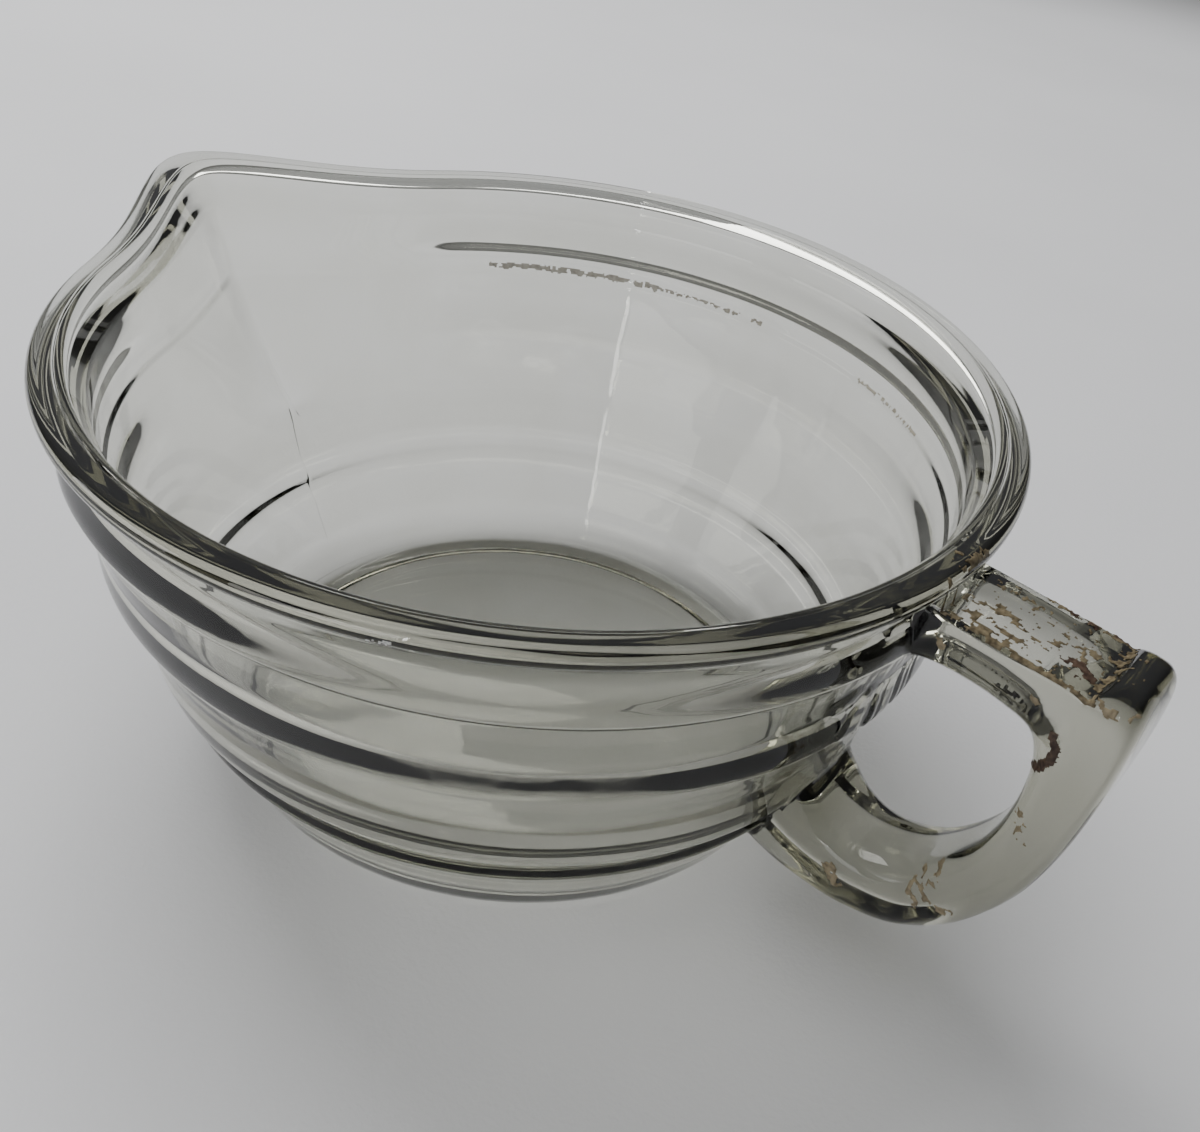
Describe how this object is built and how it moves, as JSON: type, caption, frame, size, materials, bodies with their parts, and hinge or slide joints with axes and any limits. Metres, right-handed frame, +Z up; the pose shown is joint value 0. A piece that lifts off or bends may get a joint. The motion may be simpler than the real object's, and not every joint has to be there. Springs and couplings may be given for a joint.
{
  "type": "batter bowl",
  "caption": "Clear pressed-glass mixing bowl with stepped rings, a rolled rim, a V-shaped pouring spout and a D-shaped handle with a thumb stop.",
  "frame": {"origin": "centre of the bowl's flat foot, on the surface it stands on", "axes": "+Z up the bowl's axis, +X from the bowl's axis towards the handle, so the spout points along -X"},
  "size_m": [0.2473, 0.19, 0.094],
  "materials": {
    "clear_glass": "fire-polished clear pressed glass with a faint grey-olive cast at its thick edges",
    "dried_residue": "thin baked-on brown kitchen residue, matte and crusty"
  },
  "bodies": {
    "root": {"bowl": "clear_glass", "handle": "clear_glass"}
  },
  "joints": []
}
